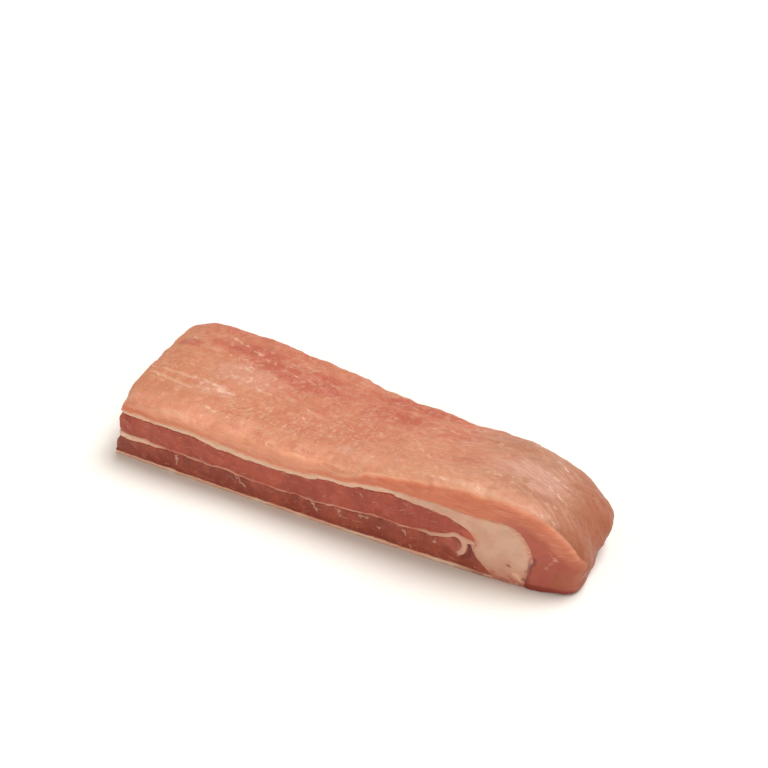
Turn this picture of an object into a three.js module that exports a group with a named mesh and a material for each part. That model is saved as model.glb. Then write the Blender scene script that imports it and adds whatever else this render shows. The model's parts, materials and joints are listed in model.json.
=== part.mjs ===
// A boneless short rib strip, cut from a slab of layered meat: a pale cover muscle that rolls over one end,
// a fat layer that swells into a wedge under that roll, two dark lean muscles with a fat seam between them,
// and a thin membrane underneath.
//
// Every layer is drawn on the long cut face, where x runs along the strip and z is the height above the
// board, and runs through the strip from the front cut to the back one. One shared function then gives the
// drawn layers the strip's uneven width, thickness and corners.
//
// Millimetres, +Z up. The origin is under the middle of the strip, +X points to the rolled nose, and -Y to
// the cut face that shows the wedge.

import * as THREE from "three";
import { mergeVertices } from "three/addons/utils/BufferGeometryUtils.js";

const { clamp, lerp, smoothstep, smootherstep } = THREE.MathUtils;

// Driving dimensions of the whole strip
const noseTip = 256;
const squareEndWidth = 87.5;
const noseWidth = 62;
const slabThickness = 36;
const humpThickness = 47.5;
const membraneThickness = 2.2;
const layerGap = 0.3;

// How the strip departs from a straight block
const frontBow = { depth: 5.8, peak: 197, power: 2.5 };
const squareEnd = { start: 2, slant: 3.2, bulge: 1.2, skew: 4, reach: 120 };
const membraneLip = 2.2;
const backThinning = { left: 0.92, nose: 0.58, from: 58, to: 180 };
const topCrown = 0.04;
const squareCorner = { radius: 11, reach: 60 };
const noseCorner = 26;
const noseSkew = { shift: 4, from: 144 };
const noseFall = { share: 0.12, from: 200 };
const edgeRadius = { slab: 2.6, nose: 6, from: 130, to: 225 };

// The fat seam between the lean muscles, which ends in a hook
const seamHeight = 13;
const seamThickness = { atEnd: 2.6, thin: 0.9, atHook: 1.9 };
const seamFade = 24;
const seamSwell = { from: 168, to: 190 };
const hook = { x: 190.6, z: 14, radius: 5.5, start: 125, end: -112, points: 9 };
const spur = { leavesAt: 62, returnsAt: 30, halfThickness: 0.6, below: 0.006, setBack: 0.6 };

// Where the wedge of fat meets the rolled cover and the ends of the lean muscles
const coverFoot = 226;
const leanTip = { x: 202.4, z: 18.6 };
const leanToe = 210;
const toeBluntness = 1.5;
const crescentDrop = 0.03;

const acrossSteps = 12;
const throughSteps = 3;

// Curves on the cut face

function curveThrough(points) {
  const spatial = points.map(([x, z]) => new THREE.Vector3(x, z, 0));
  return new THREE.CatmullRomCurve3(spatial, false, "centripetal");
}

function squareEndAt(z) {
  return squareEnd.start + squareEnd.slant * (z / slabThickness);
}

const coverTop = curveThrough([
  [squareEndAt(slabThickness), slabThickness - 3.5],
  [14, slabThickness - 0.7],
  [42, slabThickness + 0.5],
  [82, slabThickness - 0.5],
  [120, slabThickness],
  [158, lerp(slabThickness, humpThickness, 0.48)],
  [188, humpThickness - 0.7],
  [206, humpThickness],
  [222, humpThickness - 1.9],
  [235, humpThickness - 7],
  [245, humpThickness - 14.5],
  [253, humpThickness - 22.5],
  [noseTip, humpThickness - 29],
  [noseTip - 2.2, 9],
  [noseTip - 6.5, 0],
]);

const coverUnderside = curveThrough([
  [squareEndAt(28), 28],
  [42, 29.2],
  [79, 26.6],
  [100, 26.6],
  [139, 31.5],
  [160, 34.2],
  [182, 33.5],
  [206, 34.2],
  [217, 33],
  [coverFoot - 2, 27.5],
  [coverFoot + 2.6, 19],
  [coverFoot + 1.4, 11],
  [coverFoot, membraneThickness],
]);

// The lean's upper side, over the tip of the upper muscle and down to the toe of the lower one
const leanTop = curveThrough([
  [squareEndAt(26), 26],
  [44, 26.3],
  [79, 22.9],
  [100, 24],
  [139, 28.2],
  [158, 30.6],
  [179, 27.9],
  [192, 25.1],
  [199, 22],
  [leanTip.x, leanTip.z],
  [leanTip.x - 1.6, leanTip.z - 3.4],
  [leanTip.x - 1, leanTip.z - 7.2],
  [leanTip.x + 2, leanTip.z - 11],
  [leanToe - 2.2, membraneThickness + 1.7],
  [leanToe, membraneThickness],
]);

function hookPoint(degrees) {
  const angle = THREE.MathUtils.degToRad(degrees);
  return [hook.x + hook.radius * Math.cos(angle), hook.z + hook.radius * Math.sin(angle)];
}

function seamCurve() {
  const points = [
    [squareEndAt(seamHeight), seamHeight],
    [23, seamHeight + 0.5],
    [60, seamHeight],
    [100, seamHeight - 0.7],
    [128, seamHeight + 0.8],
    [160, seamHeight + 2.2],
    [178, seamHeight + 2.9],
  ];
  for (let i = 0; i <= hook.points; i += 1) {
    points.push(hookPoint(lerp(hook.start, hook.end, i / hook.points)));
  }
  return curveThrough(points);
}
const seam = seamCurve();

// The share of a curve's length at which it passes closest to a point
function shareNear(curve, [x, z]) {
  const samples = 2000;
  let best = 0;
  let nearest = Infinity;
  for (let i = 0; i <= samples; i += 1) {
    const point = curve.getPointAt(i / samples);
    const distance = Math.hypot(point.x - x, point.y - z);
    if (distance < nearest) {
      nearest = distance;
      best = i / samples;
    }
  }
  return best;
}

const tipShare = shareNear(leanTop, [leanTip.x, leanTip.z]);
const hookShare = shareNear(seam, hookPoint(hook.start));
const spurLeaves = shareNear(seam, hookPoint(spur.leavesAt));
const spurReturns = shareNear(seam, hookPoint(spur.returnsAt));

function seamHalfThickness(share) {
  const x = seam.getPointAt(share).x;
  const fadeIn = Math.exp(-((x / seamFade) ** 2));
  const swell = share > hookShare ? 1 : smoothstep(x, seamSwell.from, seamSwell.to);
  const { atEnd, thin, atHook } = seamThickness;
  return (thin + (atEnd - thin) * fadeIn + (atHook - thin) * swell) / 2;
}

// Points of a curve between two shares of its length, moved to the left of its direction
function edge(curve, from, to, count, shift) {
  const points = [];
  for (let i = 0; i <= count; i += 1) {
    const share = lerp(from, to, i / count);
    const point = curve.getPointAt(share);
    const tangent = curve.getTangentAt(share);
    const distance = typeof shift === "function" ? shift(share) : shift;
    points.push(new THREE.Vector2(point.x - tangent.y * distance, point.y + tangent.x * distance));
  }
  return points;
}

// The bulged square end of a layer, from its last drawn point back to its first
function bulgedEnd(from, to) {
  const points = [];
  const bulgeCount = 3;
  for (let i = 1; i < bulgeCount; i += 1) {
    const share = i / bulgeCount;
    const bulge = squareEnd.bulge * Math.sin(Math.PI * share);
    points.push(new THREE.Vector2(lerp(from.x, to.x, share) - bulge, lerp(from.y, to.y, share)));
  }
  return points;
}

// Outlines of the layers on the cut face, each drawn anticlockwise

const halfGap = layerGap / 2;
const gentleCount = 18;
const tipCount = 9;
const tipStart = 0.74;
const toeCount = 10;
const seamCount = 20;
const hookCount = 14;
const outerHookCount = 9;
const archCount = 4;
const soleCount = 16;
const backCount = 22;
const noseCount = 18;

// Where the cover's two sides start to turn down into the nose
const undersideTurn = 0.78;
const skinTurn = 0.68;

function coverSide(curve, turn, shift) {
  return [
    ...edge(curve, 0, turn, backCount, shift),
    ...edge(curve, turn, 1, noseCount, shift).slice(1),
  ];
}

function fatOutline() {
  const lower = [
    ...edge(leanTop, 0, tipStart, gentleCount, halfGap),
    ...edge(leanTop, tipStart, tipShare, tipCount, halfGap).slice(1),
    ...edge(leanTop, tipShare, 1, toeCount, halfGap).slice(1),
  ];
  const upper = coverSide(coverUnderside, undersideTurn, -halfGap).reverse();
  const floor = membraneThickness + layerGap;
  const standing = [...lower, ...upper].map((p) => new THREE.Vector2(p.x, Math.max(p.y, floor)));
  return [...standing, ...bulgedEnd(upper.at(-1), lower[0])];
}

const clearOfSeam = (share) => seamHalfThickness(share) + layerGap;

// A point beside the spur's outer end, which stops a gap short of the wedge
function spurEnd(side, back) {
  const outer = leanTop.getPointAt(tipShare + spur.below);
  const root = seam.getPointAt((spurLeaves + spurReturns) / 2);
  const along = new THREE.Vector2(outer.x - root.x, outer.y - root.y).normalize();
  return new THREE.Vector2(
    outer.x - along.x * back - along.y * side,
    outer.y - along.y * back + along.x * side,
  );
}

// A point a gap past the hook's end, beside its middle line
function pastHookEnd(side) {
  const end = seam.getPointAt(1);
  const tangent = seam.getTangentAt(1);
  return new THREE.Vector2(
    end.x + tangent.x * layerGap - tangent.y * side,
    end.y + tangent.y * layerGap + tangent.x * side,
  );
}

function seamOutline() {
  const under = (share) => -seamHalfThickness(share);
  return [
    ...edge(seam, 0, hookShare, seamCount, under),
    ...edge(seam, hookShare, 1, hookCount, under).slice(1),
    ...edge(seam, 1, spurReturns, outerHookCount, seamHalfThickness),
    spurEnd(-spur.halfThickness, spur.setBack + layerGap),
    spurEnd(spur.halfThickness, spur.setBack),
    ...edge(seam, spurLeaves, hookShare, archCount, seamHalfThickness),
    ...edge(seam, hookShare, 0, seamCount, seamHalfThickness).slice(1),
  ];
}

function upperLeanOutline() {
  const lower = [
    ...edge(seam, 0, hookShare, seamCount, clearOfSeam),
    ...edge(seam, hookShare, spurLeaves, archCount, clearOfSeam).slice(1),
    spurEnd(spur.halfThickness + layerGap, spur.setBack),
  ];
  const upper = [
    ...edge(leanTop, tipShare, tipStart, tipCount, -halfGap),
    ...edge(leanTop, tipStart, 0, gentleCount, -halfGap).slice(1),
  ];
  return [...lower, ...upper, ...bulgedEnd(upper.at(-1), lower[0])];
}

function lowerLeanOutline() {
  const floor = membraneThickness + layerGap;
  const underSeam = (share) => -clearOfSeam(share);
  const toe = edge(leanTop, 1, tipShare + crescentDrop, toeCount, -halfGap);
  const sole = [];
  for (let i = 0; i <= soleCount; i += 1) {
    sole.push(new THREE.Vector2(lerp(squareEndAt(0), leanToe - toeBluntness, i / soleCount), floor));
  }
  const aroundHook = [
    spurEnd(-spur.halfThickness - layerGap, 2 * spur.setBack),
    ...edge(seam, spurReturns + spur.below, 1, outerHookCount, clearOfSeam),
    ...[clearOfSeam(1), underSeam(1)].map(pastHookEnd),
    ...edge(seam, 1, hookShare, hookCount, underSeam),
    ...edge(seam, hookShare, 0, seamCount, underSeam).slice(1),
  ];
  const rising = toe.filter((p) => p.y > floor + halfGap);
  return [...sole, ...rising, ...aroundHook, ...bulgedEnd(aroundHook.at(-1), sole[0])];
}

function membraneOutline() {
  const start = squareEndAt(0) - membraneLip;
  const end = coverFoot - layerGap;
  const lower = [];
  for (let i = 0; i <= soleCount; i += 1) {
    lower.push(new THREE.Vector2(lerp(start, end, i / soleCount), 0));
  }
  const upper = lower.map((p) => new THREE.Vector2(p.x, membraneThickness)).reverse();
  return [...lower, ...upper];
}

// The strip's own shape: where a point of the drawn cut face goes at a share of the way to the back cut

function cornerPull(distance, radius) {
  if (distance >= radius) return 0;
  return radius - Math.sqrt(radius ** 2 - (radius - distance) ** 2);
}

function widthAt(x) {
  const along = clamp(x, 0, noseTip);
  return lerp(squareEndWidth, noseWidth, along / noseTip) - cornerPull(noseTip - along, noseCorner);
}

function frontAt(x) {
  const { depth, peak, power } = frontBow;
  const swell = Math.sin((Math.PI / 2) * clamp(x / peak, 0, 1));
  const turnIn = clamp((x - peak) / (noseTip - peak), 0, 1) ** power;
  return -depth * (swell - turnIn);
}

function place(x, z, across) {
  const front = frontAt(x);
  const width = widthAt(x) - front;
  const fromBack = (1 - across) * width;
  const thinning = smoothstep(x, backThinning.from, backThinning.to);
  const fall = noseFall.share * smoothstep(x, noseFall.from, noseTip);
  const backShare = lerp(backThinning.left, backThinning.nose, thinning) - fall;
  const crown = topCrown * 4 * across * (1 - across);
  const squarePull =
    cornerPull(fromBack, squareCorner.radius) * (1 - smoothstep(x, 0, squareCorner.reach)) -
    squareEnd.skew * across * (1 - smoothstep(x, 0, squareEnd.reach));
  const skew = noseSkew.shift * across * smoothstep(x, noseSkew.from, noseTip);
  return new THREE.Vector3(
    x + squarePull - skew,
    front + across * width,
    z * (lerp(1, backShare, across) + crown),
  );
}

// How far the cover's outer skin draws in towards a cut face, as a rounded edge
function rollInward(x, across) {
  const width = widthAt(x) - frontAt(x);
  const radius = lerp(edgeRadius.slab, edgeRadius.nose, smoothstep(x, edgeRadius.from, edgeRadius.to));
  return cornerPull(Math.min(across, 1 - across) * width, radius);
}

// Solids

function settled(geometry, placeVertex) {
  geometry.deleteAttribute("normal");
  geometry.deleteAttribute("uv");
  const position = geometry.attributes.position;
  const vertex = new THREE.Vector3();
  for (let i = 0; i < position.count; i += 1) {
    vertex.fromBufferAttribute(position, i);
    const placed = placeVertex(vertex);
    position.setXYZ(i, placed.x, placed.y, placed.z);
  }
  const closed = mergeVertices(geometry);
  closed.computeVertexNormals();
  return closed;
}

function layerGeometry(outline) {
  const drawn = new THREE.ExtrudeGeometry(new THREE.Shape(outline), {
    depth: 1,
    steps: acrossSteps,
    bevelEnabled: false,
  });
  return settled(drawn, (vertex) => place(vertex.x, vertex.y, smootherstep(1 - vertex.z, 0, 1)));
}

// The cover is a block bent between its underside and its outer skin, and its far end stands on the board
function coverGeometry() {
  const underside = coverSide(coverUnderside, undersideTurn, halfGap);
  const skin = coverSide(coverTop, skinTurn, 0);
  underside.at(-1).y = 0;
  const inward = skin.map((point) => {
    const tangent = coverTop.getTangentAt(shareNear(coverTop, [point.x, point.y]));
    const lift = clamp(point.y / edgeRadius.nose, 0, 1);
    return new THREE.Vector2(tangent.y, -tangent.x).multiplyScalar(lift);
  });
  const alongSteps = skin.length - 1;
  const block = new THREE.BoxGeometry(1, 1, 1, alongSteps, acrossSteps, throughSteps);
  return settled(block, (vertex) => {
    const i = Math.round((vertex.x + 0.5) * alongSteps);
    const across = smootherstep(vertex.y + 0.5, 0, 1);
    const through = vertex.z + 0.5;
    const roll = rollInward(skin[i].x, across);
    const rolled = skin[i].clone().addScaledVector(inward[i], roll);
    return place(
      lerp(underside[i].x, rolled.x, through),
      lerp(underside[i].y, rolled.y, through),
      across,
    );
  });
}

function meat(name, geometry, color, roughness) {
  const material = new THREE.MeshStandardMaterial({ color, roughness, metalness: 0 });
  const mesh = new THREE.Mesh(geometry, material);
  mesh.name = name;
  return mesh;
}

const layers = new THREE.Group();
layers.add(
  meat("cover_muscle", coverGeometry(), 0xd7957a, 0.45),
  meat("fat_wedge", layerGeometry(fatOutline()), 0xdcb29b, 0.5),
  meat("upper_lean", layerGeometry(upperLeanOutline()), 0xa55742, 0.4),
  meat("fat_seam", layerGeometry(seamOutline()), 0xdba893, 0.5),
  meat("lower_lean", layerGeometry(lowerLeanOutline()), 0x8f4734, 0.4),
  meat("membrane", layerGeometry(membraneOutline()), 0xd39c86, 0.4),
);

const reach = new THREE.Box3().setFromObject(layers);
const middle = reach.getCenter(new THREE.Vector3());
layers.position.set(-middle.x, -middle.y, -reach.min.z);

const ribStrip = new THREE.Group();
ribStrip.add(layers);

export default ribStrip;
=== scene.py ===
import json
import math

import bpy
import numpy as np
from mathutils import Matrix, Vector
from mathutils.bvhtree import BVHTree

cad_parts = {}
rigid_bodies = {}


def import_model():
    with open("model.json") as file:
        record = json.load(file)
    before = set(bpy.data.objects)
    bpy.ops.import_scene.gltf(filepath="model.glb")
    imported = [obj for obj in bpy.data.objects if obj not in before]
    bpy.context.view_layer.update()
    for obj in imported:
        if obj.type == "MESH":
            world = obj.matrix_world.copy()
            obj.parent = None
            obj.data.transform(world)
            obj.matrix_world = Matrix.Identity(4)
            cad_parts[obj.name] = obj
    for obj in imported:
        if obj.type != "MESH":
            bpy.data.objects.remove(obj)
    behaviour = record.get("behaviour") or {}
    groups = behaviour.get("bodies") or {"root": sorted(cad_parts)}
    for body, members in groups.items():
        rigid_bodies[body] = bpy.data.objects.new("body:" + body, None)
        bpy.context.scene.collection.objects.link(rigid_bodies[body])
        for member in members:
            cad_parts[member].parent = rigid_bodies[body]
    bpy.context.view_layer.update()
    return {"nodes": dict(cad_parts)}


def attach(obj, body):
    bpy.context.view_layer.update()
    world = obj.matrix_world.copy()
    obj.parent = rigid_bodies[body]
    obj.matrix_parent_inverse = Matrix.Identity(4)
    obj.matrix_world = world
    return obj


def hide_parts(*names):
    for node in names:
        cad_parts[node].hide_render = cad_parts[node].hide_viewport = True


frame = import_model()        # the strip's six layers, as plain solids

mm = 0.001
coarser = 1.0
print("frame loaded:", sorted(frame["nodes"]))


# Mesh work shared by the layers

def pickOnly(piece):
    bpy.ops.object.select_all(action="DESELECT")
    piece.select_set(True)
    bpy.context.view_layer.objects.active = piece


def applied(piece, kind, **settings):
    pickOnly(piece)
    modifier = piece.modifiers.new(kind.title(), kind)
    for name, value in settings.items():
        setattr(modifier, name, value)
    bpy.ops.object.modifier_apply(modifier=modifier.name)


def copyLayer(node, pieceName):
    pickOnly(frame["nodes"][node])
    bpy.ops.object.duplicate()
    piece = bpy.context.active_object
    bpy.ops.object.parent_clear(type="CLEAR_KEEP_TRANSFORM")
    piece.name = pieceName
    piece.data.name = pieceName
    for key in list(piece.keys()):
        del piece[key]
    piece.data.materials.clear()
    bpy.ops.object.mode_set(mode="EDIT")
    bpy.ops.mesh.select_all(action="SELECT")
    bpy.ops.mesh.remove_doubles(threshold=0.01 * mm)
    bpy.ops.object.mode_set(mode="OBJECT")
    return piece


def roundOff(piece, creaseAngle, levels):
    # The solid's facets are rounded, and its cut edges stay
    bpy.ops.object.mode_set(mode="EDIT")
    bpy.ops.mesh.select_all(action="SELECT")
    bpy.ops.mesh.tris_convert_to_quads(face_threshold=math.radians(60), shape_threshold=math.radians(80))
    bpy.ops.mesh.select_all(action="DESELECT")
    bpy.ops.mesh.select_mode(type="EDGE")
    bpy.ops.mesh.edges_select_sharp(sharpness=math.radians(creaseAngle))
    bpy.ops.transform.edge_crease(value=1)
    bpy.ops.object.mode_set(mode="OBJECT")
    applied(piece, "SUBSURF", levels=levels, render_levels=levels)


def pointsOf(piece):
    flat = np.empty(len(piece.data.vertices) * 3, np.float32)
    piece.data.vertices.foreach_get("co", flat)
    return flat.reshape(-1, 3)


def normalsOf(piece):
    flat = np.empty(len(piece.data.vertices) * 3, np.float32)
    piece.data.vertices.foreach_get("normal", flat)
    return flat.reshape(-1, 3)


def surfaceOf(nodes, keepFace=lambda normal, x, z: True):
    # The layers' own surface, or the faces of it that are kept by their normal and middle
    points = []
    faces = []
    for node in nodes:
        mesh = frame["nodes"][node].data
        first = len(points)
        points += [vertex.co.copy() for vertex in mesh.vertices]
        for face in mesh.polygons:
            if keepFace(face.normal, face.center.x / mm, face.center.z / mm):
                faces.append([first + i for i in face.vertices])
    return BVHTree.FromPolygons(points, faces)


def distances(points, surface, limit):
    # Millimetres from each point to a surface, no more than the limit
    found = [surface.find_nearest(Vector(point), limit * mm)[3] for point in points]
    return np.array([limit if one is None else one / mm for one in found])


def eased(values, low, high):
    share = np.clip((values - low) / (high - low), 0, 1)
    return share * share * (3 - 2 * share)


def thinHidden(piece, others, margin, share):
    # Where other layers lie against this one, past a margin from its open rim, few faces are needed
    points = pointsOf(piece)
    normals = normalsOf(piece)
    reach = 1.2 * mm
    hits = [others.ray_cast(Vector(p), Vector(n), reach)[0] for p, n in zip(points, normals)]
    isOpen = [hit is None for hit in hits]
    bpy.ops.object.mode_set(mode="EDIT")
    bpy.ops.mesh.select_mode(type="VERT")
    bpy.ops.mesh.select_all(action="DESELECT")
    bpy.ops.object.mode_set(mode="OBJECT")
    piece.data.vertices.foreach_set("select", isOpen)
    bpy.ops.object.mode_set(mode="EDIT")
    for ring in range(margin):
        bpy.ops.mesh.select_more()
    bpy.ops.mesh.select_all(action="INVERT")
    bpy.ops.mesh.decimate(ratio=share)
    bpy.ops.object.mode_set(mode="OBJECT")


def weighted(piece, weights):
    group = piece.vertex_groups.new(name="weights")
    for i, weight in enumerate(weights):
        group.add((i,), float(weight), "REPLACE")
    return group.name


def noiseTexture(size, depth, inColour):
    texture = bpy.data.textures.new("meatNoise", "CLOUDS")
    texture.noise_scale = size * mm
    texture.noise_depth = depth
    texture.noise_basis = "IMPROVED_PERLIN"
    texture.cloud_type = "COLOR" if inColour else "GRAYSCALE"
    return texture


def relief(piece, size, height, stretch=(1, 1, 1), fade=None):
    # Bumps of that size and height, drawn out along the strip's axes, and fading out along x if asked
    bpy.ops.object.empty_add()
    axes = bpy.context.active_object
    axes.scale = stretch
    texture = noiseTexture(size, 2, False)
    settings = {"texture": texture, "texture_coords": "OBJECT", "texture_coords_object": axes}
    if fade is not None:
        settings["vertex_group"] = weighted(piece, eased(pointsOf(piece)[:, 0] / mm, *fade))
    applied(piece, "DISPLACE", strength=height * mm, mid_level=0.5, **settings)
    piece.vertex_groups.clear()
    bpy.data.textures.remove(texture)
    bpy.data.objects.remove(axes)


def swell(piece, heights):
    group = weighted(piece, heights)    # up to a millimetre each
    applied(piece, "DISPLACE", strength=mm, mid_level=0, vertex_group=group)
    piece.vertex_groups.clear()


# All layers wander alike, so that they still meet
wander = [{"size": 16, "shift": 3.0}, {"size": 5, "shift": 1.0}]
boardClear = 6      # the wandering fades out this far above the board


def wanderLayer(piece):
    for wave in wander:
        group = weighted(piece, eased(pointsOf(piece)[:, 2] / mm, 0, boardClear))
        texture = noiseTexture(wave["size"], 2, True)
        applied(piece, "DISPLACE", direction="RGB_TO_XYZ", texture=texture, texture_coords="GLOBAL",
                strength=wave["shift"] * mm, mid_level=0.5, vertex_group=group)
        piece.vertex_groups.clear()
        bpy.data.textures.remove(texture)


def settle(piece):
    # Nothing reaches below the board
    points = pointsOf(piece)
    points[:, 2] = np.maximum(points[:, 2], 0)
    piece.data.vertices.foreach_set("co", points.ravel())
    piece.data.update()


def keepValues(piece, name, values):
    attribute = piece.data.attributes.new(name, "FLOAT", "POINT")
    attribute.data.foreach_set("value", values.astype(np.float32))


rimClear = (0.6, 3)     # corners stay as they are this near to another layer


def roundCorner(piece, corner, depth, edge):
    # A corner is smoothed, fading out towards the rest
    x, y, z = (pointsOf(piece) / mm).T
    weights = eased(x, *corner["x"]) * eased(y, *corner["y"]) * eased(z, *corner["z"])
    if "depth" in corner:
        weights = weights * eased(depth, *corner["depth"])
    weights = weights * eased(edge, *rimClear)
    rounds = int(corner["rounds"] / coarser ** 2)
    applied(piece, "SMOOTH", factor=0.8, iterations=rounds, vertex_group=weighted(piece, weights))
    piece.vertex_groups.clear()


def shiftPart(piece, axis, by, x, y, z):
    # Part of a piece is moved along an axis, fading out towards the rest
    along, across, height = (pointsOf(piece) / mm).T
    weights = eased(along, *x) * eased(across, *y) * eased(height, *z)
    group = weighted(piece, weights)
    applied(piece, "DISPLACE", direction=axis, strength=by * mm, mid_level=0, vertex_group=group)
    piece.vertex_groups.clear()


skinReach = 24      # depths under the skin are read this far
edgeReach = 12      # and ways to the neighbouring layers this far


def makeLayer(node, look):
    piece = copyLayer(node, look["name"])
    others = surfaceOf([name for name in frame["nodes"] if name != node])
    if "subdivide" in look:
        roundOff(piece, look["creaseAngle"], look["subdivide"])
    applied(piece, "REMESH", mode="VOXEL", voxel_size=look["voxel"] * coarser * mm)
    applied(piece, "SMOOTH", factor=0.5, iterations=look["smoothing"])
    if "skin" in look:
        skin = surfaceOf([node], look["skin"])
        depth = distances(pointsOf(piece), skin, skinReach)
        keepValues(piece, "depth", depth)
        edge = distances(pointsOf(piece), others, edgeReach)
        for corner in look["corners"]:
            roundCorner(piece, corner, depth, edge)
    thinHidden(piece, others, look["margin"], look["hiddenShare"])
    points = pointsOf(piece)
    edge = distances(points, others, edgeReach)
    keepValues(piece, "edge", edge)
    for shift in look.get("shifts", []):
        shiftPart(piece, **shift)
    wanderLayer(piece)
    heights = look["closeGap"] + look["pillow"] * eased(edge, 0, look["pillowReach"])
    for start, end, height in look.get("thicker", []):
        heights = heights + height * eased(points[:, 0] / mm, start, end)
    swell(piece, heights)
    for wave in look["waves"]:
        relief(piece, **wave)
    settle(piece)
    if "skin" in look:
        # How much the surface faces the front: it sets the painted highlight on the rolled front edge, and
        # marks the nose's cut corner
        keepValues(piece, "front", np.clip(-normalsOf(piece)[:, 1], 0, 1))
    pickOnly(piece)
    bpy.ops.object.shade_smooth()
    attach(piece, "root")
    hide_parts(node)
    faces = sum(len(face.vertices) - 2 for face in piece.data.polygons)
    print(look["name"], "made,", faces, "triangles")
    return piece


# Shader work: a socket with arithmetic

class Ink:
    def __init__(self, tree, socket):
        self.tree = tree
        self.socket = socket

    def node(self, kind, settings, values, pick=0):
        made = self.tree.nodes.new(kind)
        for name, value in settings.items():
            setattr(made, name, value)
        for name, value in values.items():
            if isinstance(value, Ink):
                self.tree.links.new(value.socket, made.inputs[name])
            else:
                made.inputs[name].default_value = value
        return Ink(self.tree, made.outputs[pick])

    def other(self, name):
        return Ink(self.tree, self.socket.node.outputs[name])

    def maths(self, operation, first, second):
        return self.node("ShaderNodeMath", {"operation": operation}, {0: first, 1: second})

    def __add__(self, other):
        return self.maths("ADD", self, other)

    def __radd__(self, other):
        return self.maths("ADD", other, self)

    def __sub__(self, other):
        return self.maths("SUBTRACT", self, other)

    def __rsub__(self, other):
        return self.maths("SUBTRACT", other, self)

    def __mul__(self, other):
        return self.maths("MULTIPLY", self, other)

    def __rmul__(self, other):
        return self.maths("MULTIPLY", other, self)


def colour(red, green, blue):
    # A colour as seen, from 0 to 255, as the shader's own linear one
    seen = [value / 255 for value in (red, green, blue)]
    return tuple(((value + 0.055) / 1.055) ** 2.4 for value in seen) + (1,)


def stepped(value, low, high):
    settings = {"interpolation_type": "SMOOTHSTEP"}
    return value.node("ShaderNodeMapRange", settings, {"Value": value, "From Min": low, "From Max": high})


def tinted(mask, first, second):
    return mask.node("ShaderNodeMix", {"data_type": "RGBA"}, {0: mask, 6: first, 7: second}, 2)


def vectorMaths(operation, first, second, pick=0):
    return first.node("ShaderNodeVectorMath", {"operation": operation}, {0: first, 1: second}, pick)


def scaled(vector, share):
    return share.node("ShaderNodeVectorMath", {"operation": "SCALE"}, {0: vector, "Scale": share})


def drawnOut(place, stretch):
    return vectorMaths("MULTIPLY", place, tuple(1 / value for value in stretch))


def mottle(place, size, detail=2, bend=0):
    values = {"Vector": place, "Scale": 1 / size, "Detail": detail, "Distortion": bend}
    return place.node("ShaderNodeTexNoise", {"noise_dimensions": "3D"}, values)


def pushed(place, size, reach):
    # The place, pushed about by noise, so that what is drawn there wanders
    values = {"Vector": place, "Scale": 1 / size, "Detail": 2}
    push = place.node("ShaderNodeTexNoise", {"noise_dimensions": "3D"}, values, 1)
    centred = vectorMaths("SUBTRACT", push, (0.5, 0.5, 0.5))
    return vectorMaths("ADD", place, vectorMaths("MULTIPLY", centred, (reach, reach, reach)))


def sizeOf(value):
    # The value without its sign
    return value.node("ShaderNodeMath", {"operation": "ABSOLUTE"}, {0: value})


def lines(place, size, width):
    # Thin wandering lines, where the noise crosses its middle
    return stepped(sizeOf(mottle(place, size) - 0.5), width, 0)


def thread(place, start, end, width):
    # 1 along a straight line between two points, fading out at its width
    along = Vector(end) - Vector(start)
    rel = vectorMaths("SUBTRACT", place, start)
    share = vectorMaths("DOT_PRODUCT", rel, tuple(along / along.length_squared), "Value")
    held = share.node("ShaderNodeClamp", {}, {"Value": share})
    apart = vectorMaths("SUBTRACT", rel, scaled(tuple(along), held))
    return stepped(vectorMaths("LENGTH", apart, (0, 0, 0), "Value"), width, width * 0.3)


def strokes(flat, size, length, width, turn, spread, share):
    # Short separate strokes, at most one to a cell, turned about an angle in degrees
    settings = {"voronoi_dimensions": "2D"}
    middle = flat.node("ShaderNodeTexVoronoi", settings, {"Vector": flat, "Scale": 1 / size}, "Position")
    chance = axesOf(middle.other("Color"))
    angle = math.radians(turn) + (chance[0] - 0.5) * math.radians(spread)
    rel = vectorMaths("SUBTRACT", flat, middle)
    turned = rel.node("ShaderNodeVectorRotate", {"rotation_type": "Z_AXIS"}, {"Vector": rel, "Angle": angle})
    along, across = axesOf(turned)[:2]
    thin = stepped(sizeOf(across), width, width * 0.2)
    short = stepped(sizeOf(along), length / 2, length / 3)
    return thin * short * stepped(chance[1], 1 - share, 1 - share + 0.1)


def largest(masks):
    top = masks[0]
    for mask in masks[1:]:
        top = top.maths("MAXIMUM", top, mask)
    return top


def onFace(place, marks):
    # Marks on the long cut face, each from one x and z to another, with its width
    flat = vectorMaths("MULTIPLY", place, (1, 0, 1))
    return largest([thread(flat, (a, 0, b), (c, 0, d), width) for a, b, c, d, width in marks])


def onTop(place, marks):
    # Marks on the top, each from one x and y to another, with its width
    flat = vectorMaths("MULTIPLY", place, (1, 1, 0))
    return largest([thread(flat, (a, b, 0), (c, d, 0), width) for a, b, c, d, width in marks])


def spots(place, ovals, patch):
    # 1 inside the ovals, each a middle and how far it reaches, with ragged rims
    masks = []
    for middle, reach in ovals:
        rel = vectorMaths("DIVIDE", vectorMaths("SUBTRACT", place, middle), reach)
        away = vectorMaths("LENGTH", rel, (0, 0, 0), "Value")
        masks.append(stepped(away + patch * 0.8, 1.5, 0.8))
    return largest(masks)


def startMaterial(name):
    material = bpy.data.materials.new(name)
    material.use_nodes = True
    tree = material.node_tree
    origin = Ink(tree, tree.nodes.new("ShaderNodeTexCoord").outputs["Object"])
    return material, vectorMaths("MULTIPLY", origin, (1 / mm, 1 / mm, 1 / mm))


def stored(place, name):
    return place.node("ShaderNodeAttribute", {"attribute_name": name}, {}, "Fac")


def axesOf(place):
    return [place.node("ShaderNodeSeparateXYZ", {}, {0: place}, i) for i in range(3)]


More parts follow.
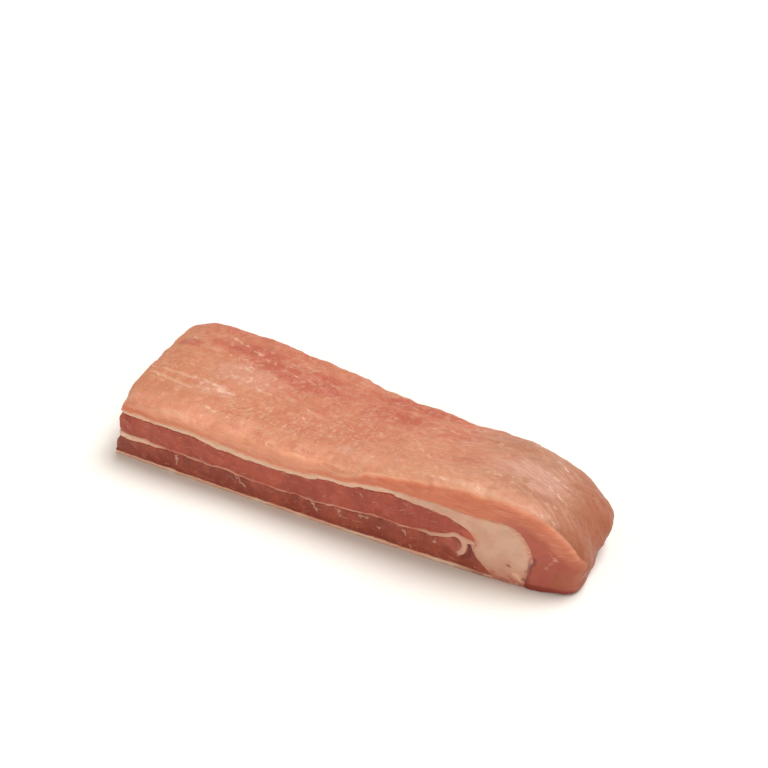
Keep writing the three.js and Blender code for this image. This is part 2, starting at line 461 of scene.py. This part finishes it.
glowReach = (1, 0.35, 0.2)      # red light travels furthest in meat
wetRoughness = 0.3


def finishMaterial(material, base, roughness, height, flesh):
    tree = material.node_tree
    shader = tree.nodes["Principled BSDF"]
    bump = base.node("ShaderNodeBump", {}, {"Height": height, "Distance": flesh["bump"] * mm})
    tree.links.new(base.socket, shader.inputs["Base Color"])
    tree.links.new(roughness.socket, shader.inputs["Roughness"])
    tree.links.new(bump.socket, shader.inputs["Normal"])
    shader.inputs["Subsurface Weight"].default_value = flesh["glow"]
    shader.inputs["Subsurface Radius"].default_value = glowReach
    shader.inputs["Subsurface Scale"].default_value = flesh["glowDepth"] * mm
    shader.inputs["Specular IOR Level"].default_value = flesh["shine"]
    shader.inputs["Coat Weight"].default_value = flesh["wet"]
    shader.inputs["Coat Roughness"].default_value = wetRoughness
    return material


# The cover muscle: pale skin on top, a coral cut band, and a redder core where it is thick

def isSkin(normal, x, z):
    # The top and the end of the nose, without the long cut face in front
    upward = normal.z > 0.35 and z > 22
    endward = normal.x > 0.25 and x > 104
    return normal.y > -0.4 and (upward or endward)


cover = {
    "name": "cover_muscle_meat", "slot": "cover_muscle",
    "voxel": 0.62, "smoothing": 6, "margin": 5, "hiddenShare": 0.02,
    "subdivide": 2, "creaseAngle": 50,
    # Smoothed corners, and parts moved along an axis, which set in between two values of x, y and z
    "corners": [
        {"x": (112, 122), "y": (-32, -41), "z": (14, 4), "rounds": 80},
        {"x": (106, 116), "y": (-32, -42), "z": (40, 20), "rounds": 50},
        {"x": (4, -45), "y": (-24, -36), "z": (0, 10), "depth": (8, 4), "rounds": 320},
        {"x": (-50, -5), "y": (-34, -42), "z": (0, 10), "depth": (4, 2), "rounds": 90},
    ],
    "shifts": [
        {"axis": "X", "by": -2.7, "x": (96, 122), "y": (-3, -24), "z": (36, 20)},
        {"axis": "X", "by": 2.2, "x": (96, 116), "y": (0, -20), "z": (10, 2)},
        {"axis": "X", "by": 3.6, "x": (96, 116), "y": (-26, -4), "z": (6, 22)},
        {"axis": "X", "by": -2.2, "x": (96, 116), "y": (-24, -8), "z": (17, 8)},
        {"axis": "Y", "by": -2, "x": (94, 110), "y": (0, 16), "z": (-1, 0)},
        {"axis": "Y", "by": -1.8, "x": (100, 112), "y": (2, 14), "z": (-1, 0)},
        {"axis": "X", "by": -1.6, "x": (-104, -122), "y": (-42, -20), "z": (18, 34)},
        {"axis": "X", "by": 1, "x": (-112, -124), "y": (-28, -40), "z": (38, 31)},
    ],
    "closeGap": 0.75, "pillow": 0.1, "pillowReach": 4,
    "skin": isSkin,
    "waves": [
        {"size": 26, "height": 1.6},
        {"size": 7, "height": 0.6},
        {"size": 3, "height": 0.35},
        {"size": 1.7, "height": 0.07, "stretch": (9, 1, 9), "fade": (114, 94)},
    ],
    "glow": 0.2, "glowDepth": 1.6, "shine": 0.35, "wet": 0.05, "bump": 0.5,
    # Fibres run along the strip, a little aslant, and turn past a value of x
    "fibres": {"slant": 0.15, "turnFrom": 60, "turn": 0.006, "thin": 0.04},
    # Colours of the skin
    "pink": colour(184, 106, 81), "tan": colour(189, 122, 89), "peach": colour(206, 140, 111),
    "sand": colour(206, 148, 116), "red": colour(174, 86, 66), "flush": colour(169, 78, 60),
    "dull": colour(164, 109, 84), "brown": colour(151, 86, 59), "umber": colour(140, 70, 38),
    # The pale of the wisps is also the colour of the painted glints
    "pale": colour(214, 168, 142), "glint": colour(232, 196, 174), "lilac": colour(206, 158, 142),
    "violet": colour(150, 104, 96), "foot": colour(140, 50, 35),
    # Colours of the cut
    "rim": colour(232, 168, 134), "paleRim": colour(221, 161, 129),
    "band": colour(212, 124, 92), "paleBand": colour(230, 158, 127), "redBand": colour(196, 104, 79),
    "duskBand": colour(196, 118, 90), "lowBand": colour(160, 79, 54), "core": colour(175, 86, 68),
    "coral": colour(210, 118, 85), "fat": colour(226, 180, 152), "bruise": colour(124, 66, 62),
    # Ovals on the skin, each a middle and how far it reaches
    "film": [((-72, 2, 30), (23, 13, 60)), ((-80, -17, 30), (16, 6, 60)), ((0, -31, 40), (8, 5, 60))],
    "noseFilm": [((88, -11, 30), (26, 12, 60)), ((96, -22, 30), (11, 6, 60))],
    "tickZone": [((-47, -25, 30), (36, 14, 60)), ((-8, -22, 30), (26, 14, 60))],
    "redZone": [
        ((60, -19, 40), (10, 5, 60)),
        ((-48, 16, 30), (40, 12, 60)),
        ((-80, 24, 30), (30, 9, 60)),
        ((-114, 18, 30), (9, 5, 60)),
        ((8, 11, 40), (22, 8, 60)),
        ((12, 25, 30), (30, 7, 60)),
    ],
    # Ovals of painted sheen along the rolled front edge
    "palePatch": [((-89, -42, 20), (11, 5, 60)), ((72, -43, 40), (22, 4, 60))],
    # Lines on the top, each from one x and y to another, with its width
    "wisps": [
        (-98, 32, -85, 27, 1.1), (-80, 24, -65, 19, 1),
        (-81, 14, -77, 18, 1.5), (-78, 17, -75, 10, 1.3), (-78, 9, -72, 6, 1.4),
        (-95, -10, -88, -15, 1.4), (-89, -11, -77, -15, 1.6), (-80, -17, -67, -15, 1.3),
        (-83, -28, -72, -31, 1.4), (-65, -6, -51, -6, 1.4),
        # The wisp from x 50 to 57 along the front edge is a painted highlight
        (36, 10, 41, 9, 0.8), (26, -8, 42, -24, 1), (50, -41, 57, -42, 1.5), (72, -27, 85, -29, 1.1),
        (87, -2, 107, -9, 1.1), (92, 12, 100, 7, 1), (97, -16, 110, -23, 0.9),
    ],
    "paleLines": [(-120, -13, -92.6, -19.8, 1.6), (-115, -9.3, -94.4, -11.8, 1.4)],
    "redLine": [(-68.5, -29.5, -53.3, -28.6, 1)],
    "violetLine": [(93, -7.2, 104.3, -10, 0.8)],
    # Lines on the cut, from one x and z to another
    "noseFleck": [(113.2, 20.8, 114.2, 20, 1.2)],
    "noseLines": [(110.5, 24.1, 113.8, 20.4, 0.6), (109, 13, 113, 19, 0.6)],
    "noseBruise": [(104.2, 18, 103, 12, 1.8), (103, 12, 101, 5, 1.8)],
}


def coverFibres(fibres, place):
    # Places drawn out along the fibres, which turn to the front over the nose
    x, y, z = axesOf(place)
    past = x.maths("MAXIMUM", x - fibres["turnFrom"], 0)
    across = y + x * fibres["slant"] + past * past * fibres["turn"]
    drawn = {0: x * fibres["thin"], 1: across, 2: z * fibres["thin"]}
    return place.node("ShaderNodeCombineXYZ", {}, drawn)


def coverNoise(look, place):
    # The noise and the fibres that the skin's colours share
    x, y, z = axesOf(place)
    bent = pushed(place, 11, 6)
    along = coverFibres(look["fibres"], place)
    calm = stepped(x - z * 0.5, 104, 84)    # fine marks fade out down the end of the nose
    groups = stepped(mottle(place, 14), 0.38, 0.6)
    strands = lines(pushed(along, 7, 3), 3.4, 0.06) * groups * stepped(z, 6, 14)
    flat = place.node("ShaderNodeCombineXYZ", {}, {0: x - z, 1: y, 2: 0})
    return {
        "bent": bent, "calm": calm, "groups": groups,
        "broad": mottle(place, 30),
        "patch": mottle(bent, 9, 3),
        "marbled": mottle(bent, 3.2, 4),
        "fine": mottle(place, 1.2, 3),
        "strands": strands * (0.15 + 0.85 * calm),
        "threads": stepped(mottle(along, 0.8, 2), 0.4, 0.7) * (0.25 + 0.75 * calm),
        "wavy": pushed(flat, 3, 1.6),
    }


def coverZones(look, place, noise):
    # Broad colours: tan to pink, peach along the front that is partly a painted highlight on the rolled
    # edge, red along the back, dull and brown over the nose
    x, y, z = axesOf(place)
    bent = noise["bent"]
    broad = noise["broad"]
    patch = noise["patch"]
    skin = tinted(stepped(broad * 50 - x - y * 1.2, 50, 130), look["pink"], look["tan"])
    # Peach along the front edge: partly the skin's own paler edge, partly a painted highlight where the edge
    # rolls over
    skin = tinted(stepped(broad * 12 - y, 30, 44), skin, look["peach"])
    skin = tinted(stepped(mottle(bent, 20), 0.42, 0.6) * 0.6, skin, look["tan"])
    skin = tinted(stepped(mottle(pushed(place, 9, 9), 9), 0.48, 0.64) * 0.3, skin, look["sand"])
    skin = tinted(stepped(patch, 0.45, 0.68) * 0.38, skin, look["red"])
    back = stepped(y + patch * 10, 32, 46) * stepped(x, 90, 40)
    skin = tinted(back * 0.5, skin, look["red"])
    skin = tinted(spots(bent, look["redZone"], patch) * 0.75, skin, look["flush"])
    middle = stepped(x, -10, 30) * stepped(y, 6, -8)
    skin = tinted(middle * 0.3, skin, look["sand"])
    # Near the front edge the nose stays peach rather than dull, for the same painted highlight
    lip = stepped(y, -30, -42) * stepped(x, 112, 100)
    nose = stepped(x + y * 0.3 + broad * 40, 60, 105) * (1 - 0.7 * lip)
    skin = tinted(nose, skin, look["dull"])
    skin = tinted(stepped(x * 0.8 - z + patch * 14, 51, 80), skin, look["brown"])
    lowNose = stepped(z, 26, 9) * stepped(x, 100, 112)
    skin = tinted(lowNose * 0.9, skin, look["umber"])
    foot = stepped(z + patch * 2.5, 5.4, 3.6) * stepped(x, 100, 108)
    return tinted(foot * 0.8, skin, look["foot"])


def coverGrain(look, skin, place, noise):
    # Marbling, fibres and short pale strokes, and how high these stand
    x = axesOf(place)[0]
    calm = noise["calm"]
    marbled = noise["marbled"]
    strands = noise["strands"]
    threads = noise["threads"]
    wavy = noise["wavy"]
    veined = stepped(marbled, 0.5, 0.68) * stepped(noise["patch"], 0.36, 0.6)
    skin = tinted(veined * (0.1 + 0.16 * calm), skin, look["pale"])
    blushed = stepped(marbled, 0.5, 0.32) * stepped(noise["broad"], 0.35, 0.65)
    skin = tinted(blushed * 0.14, skin, look["red"])
    skin = tinted(strands * (0.16 + 0.16 * stepped(x, 50, 90)), skin, look["pale"])
    skin = tinted(threads * (0.07 + 0.07 * stepped(x, 40, 80)), skin, look["pale"])
    ticks = largest([strokes(wavy, 4, 3.8, 0.7, -70, 60, 0.6), strokes(wavy, 3, 2.6, 0.55, -40, 120, 0.4)])
    ticks = ticks * spots(noise["bent"], look["tickZone"], noise["patch"])
    skin = tinted(ticks * 0.5, skin, look["pale"])
    strewn = strokes(wavy, 5, 4, 0.5, -15, 150, 0.35) * stepped(x, 90, 60)
    skin = tinted(strewn * 0.4, skin, look["pale"])
    tangle = lines(pushed(place, 2.5, 2.5), 2, 0.08) * stepped(mottle(place, 7), 0.4, 0.62)
    skin = tinted(tangle * (0.06 + 0.14 * calm), skin, look["pale"])
    return skin, threads * 0.1 + strands * 0.15 + ticks * 0.3 + strewn * 0.3


def coverMarks(look, skin, place, noise):
    # Silver film, wisps and single lines, and how high these stand
    bent = noise["bent"]
    patch = noise["patch"]
    calm = noise["calm"]
    webs = lines(pushed(place, 6, 6), 5, 0.06) * stepped(mottle(place, 3.2), 0.46, 0.58) * calm
    film = spots(bent, look["film"], patch)
    skin = tinted(film * 0.34, skin, look["lilac"])
    skin = tinted(webs * (0.2 + 0.6 * film), skin, look["pale"])
    noseFilm = spots(bent, look["noseFilm"], patch) * calm
    fibrous = largest([noise["strands"], noise["threads"] * 0.5])
    skin = tinted(noseFilm * (0.38 + 0.6 * fibrous), skin, look["lilac"])
    # Painted sheen: pale ovals along the rolled front edge
    skin = tinted(spots(bent, look["palePatch"], patch) * 0.5, skin, look["pale"])
    wisps = onTop(pushed(place, 3, 4.5), look["wisps"]) * stepped(noise["marbled"], 0.38, 0.56)
    skin = tinted(wisps * 0.42, skin, look["glint"])
    skin = tinted(onTop(pushed(place, 11, 2), look["paleLines"]) * 0.5, skin, look["pale"])
    redLine = onTop(bent, look["redLine"]) * stepped(noise["fine"], 0.35, 0.6)
    skin = tinted(redLine * 0.5, skin, look["red"])
    skin = tinted(onTop(bent, look["violetLine"]) * 0.5, skin, look["violet"])
    return skin, webs * 0.2 + wisps * 0.3


def coverSkin(look, place):
    x = axesOf(place)[0]
    noise = coverNoise(look, place)
    calm = noise["calm"]
    fine = noise["fine"]
    skin = coverZones(look, place, noise)
    skin, grainHeight = coverGrain(look, skin, place, noise)
    skin, markHeight = coverMarks(look, skin, place, noise)
    speckle = 0.05 + 0.04 * calm
    skin = tinted(stepped(fine, 0.5, 0.8) * speckle, skin, look["pale"])
    skin = tinted(stepped(fine, 0.48, 0.25) * speckle, skin, look["red"])
    # Painted glints: short bright strokes along the fibres stand in for highlights on wet ridges
    paintedGlints = strokes(noise["wavy"], 8, 3, 0.4, 20, 40, 0.3) * noise["groups"]
    skin = tinted(paintedGlints * calm * 0.6, skin, look["glint"])
    # Painted highlight: the skin is made brighter where it faces the front, over the rolled front edge, by
    # an amount that changes along the strip
    paintedHighlight = stepped(x, 112, 90) * (0.37 - 0.25 * stepped(x, -10, 25) - 0.2 * stepped(x, -92, -108))
    skin = scaled(skin, 1 + stored(place, "front") * paintedHighlight)
    return skin, fine * (0.25 + 0.2 * calm) + grainHeight + markHeight


def coverCut(look, place):
    x, z = axesOf(place)[::2]
    edge = stored(place, "edge")
    bent = pushed(place, 5, 2.5)
    patch = mottle(place, 7, 3)
    ragged = stored(place, "depth") + (patch - 0.5) * 1.6
    band = tinted(stepped(x + patch * 30, 2, 44), look["paleBand"], look["band"])
    rim = tinted(stepped(x, 0, 30), look["rim"], look["paleRim"])
    cut = tinted(stepped(ragged, 1, 3.4), rim, band)
    cut = tinted(stepped(x, 66, 100) * 0.5, cut, look["duskBand"])
    low = stepped(z, 30, 12) * stepped(x, 95, 110)
    cut = tinted(low * 0.85, cut, look["lowBand"])
    core = stepped(ragged, 5.5, 9.5) * stepped(x, 80, 104)
    grain = mottle(drawnOut(bent, (7, 7, 0.8)), 1.3, 3)
    cut = tinted(stepped(grain, 0.5, 0.72) * (0.35 - 0.3 * low), cut, look["rim"])
    cut = tinted(stepped(grain, 0.5, 0.3) * 0.35, cut, look["redBand"])
    cut = tinted(core * 0.85, cut, look["core"])
    foot = stepped(z + patch * 2.5, 5.4, 3.6) * stepped(x, 94, 102)
    cut = tinted(foot * 0.85, cut, look["foot"])
    smear = stepped(mottle(drawnOut(bent, (1, 1, 4)), 1.4, 3), 0.28, 0.56)
    cut = tinted(onFace(bent, look["noseBruise"]) * smear * 0.85, cut, look["bruise"])
    frayed = pushed(bent, 1.6, 5)
    cut = tinted(onFace(frayed, look["noseFleck"]) * 0.5, cut, look["pale"])
    cut = tinted(onFace(frayed, look["noseLines"]) * 0.25, cut, look["pale"])
    fringe = edge + (mottle(place, 1.8, 3) - 0.5) * 1.6
    coral = stepped(fringe, 0.7, 1.3) * stepped(fringe, 3.4, 2.2) * stepped(x, 60, 20)
    strong = 0.5 + 0.3 * stepped(x, -98, -110)
    cut = tinted(coral * strong, cut, look["coral"])
    cream = stepped(fringe, 1.4, 0.4) * stepped(x, 64, 48) * (0.8 - 0.25 * stepped(x, -70, -95))
    return tinted(cream, cut, look["fat"]), grain * 0.4


def coverMaterial(look):
    material, place = startMaterial("coverMuscle")
    skin, skinHeight = coverSkin(look, place)
    cut, cutHeight = coverCut(look, place)
    x, z = axesOf(place)[::2]
    rolled = stepped(x + mottle(place, 12) * 24, 2, -44)    # the skin reaches lower where the edge is rolled
    inside = stepped(stored(place, "depth"), 0.5 + rolled * 1.2, 1.2 + rolled * 3)
    corner = stepped(stored(place, "front"), 0.25, 0.6) * stepped(z, 22, 14) * stepped(x, 100, 108)
    inside = largest([inside, corner])
    base = tinted(inside, skin, cut)
    roughness = 0.42 + mottle(place, 8, 3) * 0.16
    height = skinHeight * (1 - inside) + cutHeight * inside
    return finishMaterial(material, base, roughness, height, look)


# The two leans: dark cut muscle with a faint upright grain, flecks and short veins of fat

lean = {
    "voxel": 0.45, "smoothing": 3, "margin": 6, "hiddenShare": 0.01,
    "closeGap": 0.5, "pillow": 0.3, "pillowReach": 4,
    "waves": [{"size": 9, "height": 0.6}, {"size": 2.4, "height": 0.25}],
    "fat": colour(216, 166, 142), "pink": colour(198, 112, 90), "bruise": colour(116, 42, 34),
    "glow": 0.2, "glowDepth": 1.6, "shine": 0.4, "wet": 0.08, "bump": 0.4,
}

upperLean = lean | {
    "name": "upper_lean_meat", "slot": "lean",
    "shifts": [
        {"axis": "X", "by": 1.6, "x": (-112, -124), "y": (-20, -40), "z": (12, 20)},
        {"axis": "Z", "by": 3, "x": (15, 62), "y": (60, 50), "z": (19, 24)},
        {"axis": "Z", "by": 0.5, "x": (40, 10), "y": (60, 50), "z": (18, 22)},
    ],
    "light": colour(194, 95, 70), "base": colour(178, 80, 57), "dark": colour(159, 65, 46),
    "veins": [(16, 26.4, 16.8, 25, 0.9)],
    "tip": [(70, 23.4, 76, 19, 3)],
}

lowerLean = lean | {
    "name": "lower_lean_meat", "slot": "dark_lean",
    "light": colour(184, 92, 66), "base": colour(166, 75, 51), "dark": colour(141, 58, 39),
    "veins": [
        (-88, 12, -88.7, 6, 0.9),
        (-55, 12.8, -48.5, 7.3, 0.7),
        (-10, 11.5, -7.9, 7.6, 0.9),
        (2.3, 12.5, 5.2, 8.8, 0.7),
        (15.8, 12.9, 19.6, 13.4, 0.7),
        (25, 9.5, 25.6, 9.3, 0.7),
        (38.1, 12.7, 40, 10.3, 0.7),
        (42.2, 3.9, 42.6, 3.6, 0.7),
        (55.3, 13, 55.1, 11.6, 0.9),
    ],
    "crescent": [(71.6, 16, 73.6, 12.6, 1.3), (73.6, 12.6, 72.4, 10, 1.6), (72.4, 10, 69, 7.5, 1.8)],
    "creamCorner": [(73.4, 16.8, 75, 13.2, 1.4)],
    "curl": [(63, 14.5, 66, 13, 4.5)],
}


def leanMaterial(look):
    material, place = startMaterial(look["slot"])
    x, y, z = axesOf(place)
    edge = stored(place, "edge")
    bent = pushed(place, 3, 2)
    broad = mottle(place, 14, 2)
    blots = mottle(bent, 4, 4)
    grain = mottle(drawnOut(bent, (0.8, 4, 4)), 1.2, 3)
    fine = mottle(place, 0.9, 3)
    base = tinted(stepped(broad, 0.35, 0.65), look["dark"], look["base"])
    base = tinted(stepped(blots, 0.5, 0.7) * 0.65, base, look["light"])
    base = tinted(stepped(blots, 0.5, 0.3) * 0.7, base, look["dark"])
    base = tinted(stepped(grain, 0.5, 0.75) * 0.3, base, look["light"])
    base = tinted(stepped(fine, 0.52, 0.3) * 0.5, base, look["dark"])
    flat = place.node("ShaderNodeCombineXYZ", {}, {0: x + y, 1: z, 2: 0})
    wavy = pushed(flat, 1.6, 1.5)
    flecks = largest([strokes(wavy, 5, 4.4, 0.36, 0, 70, 0.4), strokes(wavy, 3, 0.9, 0.36, 0, 180, 0.3)])
    base = tinted(flecks * 0.42, base, look["fat"])
    frayed = pushed(bent, 1.6, 4.5)
    veins = onFace(frayed, look["veins"]) * stepped(y, -20, -35)
    base = tinted(veins * 0.8, base, look["fat"])
    if "crescent" in look:
        base = tinted(onFace(bent, look["crescent"]) * 0.8, base, look["bruise"])
        base = tinted(onFace(bent, look["curl"]) * (0.3 + 0.5 * stepped(edge, 3, 0)), base, look["pink"])
        base = tinted(onFace(bent, look["creamCorner"]) * 0.9, base, look["fat"])
    if "tip" in look:
        base = tinted(onFace(bent, look["tip"]) * 0.7, base, look["light"])
    fringe = edge + (mottle(place, 1.4, 3) - 0.5) * 2
    base = tinted(stepped(fringe, 0.7, 0.1) * 0.7, base, look["pink"])
    roughness = 0.38 + fine * 0.2
    height = fine * 0.6 + grain * 0.3 + flecks * 0.4 + veins * 0.5
    return finishMaterial(material, base, roughness, height, look)


# The fat: cream, with pink stains where it lies against the meat

fat = {
    "slot": "fat", "voxel": 0.45, "smoothing": 3, "margin": 6, "hiddenShare": 0.01,
    "cream": colour(217, 175, 150), "pink": colour(212, 162, 137), "stain": colour(198, 112, 90),
    "red": colour(150, 60, 48), "bruise": colour(134, 80, 76), "white": colour(240, 198, 169),
    "glow": 0.3, "glowDepth": 2.5, "shine": 0.35, "wet": 0.05, "bump": 0.35,
    "redSpots": [(92, 11.5, 92.4, 11.2, 1.1), (99.6, 5.2, 100.6, 4.6, 1.5)],
    "bruises": [(103.4, 19, 102.2, 12, 1.9), (102.2, 12, 100.2, 4, 1.9)], "coral": colour(206, 126, 98),
    "beads": [(96, 6.4, 96.6, 6.2, 2.3), (98.2, 4.8, 98.8, 4.6, 2.2)],
}

wedge = fat | {
    "name": "fat_wedge_meat",
    "shifts": [
        {"axis": "X", "by": 3, "x": (-112, -124), "y": (-16, -36), "z": (18, 23)},
        {"axis": "Z", "by": 3, "x": (15, 62), "y": (60, 50), "z": (19, 24)},
        {"axis": "Z", "by": -3, "x": (15, 62), "y": (60, 50), "z": (30, 39)},
    ],
    "closeGap": 0.22, "pillow": 0.2, "pillowReach": 6, "thicker": [(20, 60, 0.88), (-108, -122, -0.1)],
    "waves": [{"size": 8, "height": 0.7}, {"size": 2.5, "height": 0.3}],
}

seam = fat | {
    "name": "fat_seam_meat", "voxel": 0.4, "smoothing": 2,
    "closeGap": 0.3, "pillow": 0, "pillowReach": 5,
    "thicker": [(40, 54, 0.42), (-97, -107, 0.5)],
    "waves": [{"size": 4, "height": 0.3}],
    "cream": colour(240, 189, 176), "lean": colour(160, 72, 50),
    "thinFrom": -102, "thinTo": 44,     # between these the seam is a faint pink line
    "hookTip": [(59, 9, 64.5, 8, 3.6)],
}


def fatMaterial(look):
    material, place = startMaterial("creamFat")
    x, z = axesOf(place)[::2]
    edge = stored(place, "edge")
    bent = pushed(place, 4, 2)
    broad = mottle(place, 10, 3)
    fine = mottle(place, 1.1, 3)
    streaks = mottle(drawnOut(bent, (5, 5, 1)), 1.2, 3)
    base = tinted(stepped(broad, 0.4, 0.66), look["cream"], look["pink"])
    base = tinted(stepped(streaks, 0.48, 0.75) * 0.25, base, look["pink"])
    base = tinted(stepped(streaks, 0.5, 0.3) * 0.15, base, look["white"])
    base = tinted(stepped(x, 50, 20) * 0.65, base, look["white"])
    smear = stepped(mottle(drawnOut(bent, (1, 1, 4)), 1.4, 3), 0.28, 0.56)
    base = tinted(onFace(bent, look["bruises"]) * smear * 0.85, base, look["bruise"])
    reach = edge + (streaks - 0.5) * 7
    flushed = stepped(reach, 2, 0) * stepped(x, 66, 80) * stepped(z, 10, 18)
    base = tinted(flushed * 0.7, base, look["coral"])
    foot = stepped(z + (mottle(place, 2.6, 4) - 0.5) * 12, 5, 2.5) * stepped(x, 78, 86)
    base = tinted(foot * 0.8, base, look["stain"])
    base = tinted(stepped(z, 16, 4) * stepped(x, 60, 84) * 0.38, base, look["stain"])
    base = tinted(onFace(bent, look["beads"]) * 0.6, base, look["white"])
    base = tinted(onFace(bent, look["redSpots"]) * 0.75, base, look["red"])
    fringe = edge + (mottle(place, 1.5, 3) - 0.5) * 2
    stain = stepped(fringe, 0.3, -0.1) * (0.7 - 0.7 * stepped(x, 50, 70) * stepped(z, 14, 22))
    if "thinFrom" in look:
        start = look["thinFrom"]
        end = look["thinTo"]
        thin = stepped(x + mottle(place, 9) * 16, start, start + 14) * stepped(x, end + 10, end)
        stain = largest([stain, thin * (0.55 + 0.4 * stepped(broad, 0.4, 0.6))])
    base = tinted(stain, base, look["stain"])
    if "hookTip" in look:
        base = tinted(stepped(x, 40, 56) * 0.7, base, look["pink"])
        base = tinted(onFace(bent, look["hookTip"]), base, look["lean"])
    roughness = 0.42 + fine * 0.15
    height = fine * 0.5 + streaks * 0.3
    return finishMaterial(material, base, roughness, height, look)


# The membrane under the strip, pale along its lip and red where it meets the lean

membrane = {
    "name": "membrane_meat", "slot": "membrane",
    "voxel": 0.5, "smoothing": 3, "margin": 6, "hiddenShare": 0.01,
    "closeGap": 0.3, "pillow": 0.2, "pillowReach": 2,
    "waves": [{"size": 5, "height": 0.6}],
    "white": colour(255, 217, 191), "pink": colour(246, 190, 162), "red": colour(158, 66, 48),
    "glow": 0.25, "glowDepth": 1.6, "shine": 0.45, "wet": 0.1, "bump": 0.3,
}


def membraneMaterial(look):
    material, place = startMaterial("paleMembrane")
    x, z = axesOf(place)[::2]
    broad = mottle(drawnOut(place, (2, 1, 1)), 7, 3)
    fine = mottle(place, 1.1, 3)
    base = tinted(stepped(broad, 0.36, 0.56), look["white"], look["pink"])
    base = tinted(stepped(x + broad * 20, 64, 86) * 0.65, base, look["red"])
    base = tinted(lines(pushed(place, 6, 4), 7, 0.06) * 0.4, base, look["white"])
    top = z + (mottle(drawnOut(place, (3, 3, 1)), 1.6, 3) - 0.5) * 1.4
    base = tinted(stepped(top, 1.5, 2.1), base, look["red"])
    base = tinted(stepped(top, 0.5, 0.1) * 0.45, base, look["red"])
    roughness = 0.4 + fine * 0.15
    return finishMaterial(material, base, roughness, fine * 0.5, look)


# Every layer with its finish
for node, look, finish in [
    ("cover_muscle", cover, coverMaterial),
    ("fat_wedge", wedge, fatMaterial),
    ("upper_lean", upperLean, leanMaterial),
    ("fat_seam", seam, fatMaterial),
    ("lower_lean", lowerLean, leanMaterial),
    ("membrane", membrane, membraneMaterial),
]:
    made = makeLayer(node, look)
    made.data.materials.append(finish(look))


# Floor, light and camera

studio = {
    "floorSize": 40, "floorShade": (0.87, 0.86, 0.83, 1), "floorRoughness": 0.9, "floorShine": 0.1,
    "sky": (1, 0.86, 0.7, 1), "skyStrength": 0.38,
    "key": {"strength": 3.0, "spread": 36, "tilt": (-18, 16, 0)},
    "fill": {"strength": 0.75, "spread": 90, "tilt": (66, 0, 26)},
}


def makeLight(look):
    tilt = [math.radians(angle) for angle in look["tilt"]]
    bpy.ops.object.light_add(type="SUN", location=(0, 0, 1), rotation=tilt)
    light = bpy.context.active_object
    light.data.energy = look["strength"]
    light.data.angle = math.radians(look["spread"])


def makeStudio(look):
    bpy.ops.mesh.primitive_plane_add(size=look["floorSize"])
    floor = bpy.context.active_object
    floor.name = "floor"
    material = bpy.data.materials.new("paleFloor")
    material.use_nodes = True
    shader = material.node_tree.nodes["Principled BSDF"]
    shader.inputs["Base Color"].default_value = look["floorShade"]
    shader.inputs["Roughness"].default_value = look["floorRoughness"]
    shader.inputs["Specular IOR Level"].default_value = look["floorShine"]
    floor.data.materials.append(material)
    world = bpy.data.worlds.new("softSky")
    world.use_nodes = True
    sky = world.node_tree.nodes["Background"]
    sky.inputs["Color"].default_value = look["sky"]
    sky.inputs["Strength"].default_value = look["skyStrength"]
    bpy.context.scene.world = world
    makeLight(look["key"])
    makeLight(look["fill"])
    bpy.context.scene.view_settings.view_transform = "Standard"
    print("studio made")


camera = {"turn": 25.98, "height": 35, "distance": 0.9697, "aim": (-0.030, 0.0731, 0), "field": 24}


def makeCamera(look):
    turn = math.radians(look["turn"])
    height = math.radians(look["height"])
    back = Vector((math.sin(turn) * math.cos(height), -math.cos(turn) * math.cos(height), math.sin(height)))
    place = Vector(look["aim"]) + back * look["distance"]
    bpy.ops.object.camera_add(location=place, rotation=(math.pi / 2 - height, 0, turn))
    made = bpy.context.active_object
    made.data.angle = math.radians(look["field"])
    bpy.context.scene.camera = made
    print("camera set")


makeStudio(studio)
makeCamera(camera)
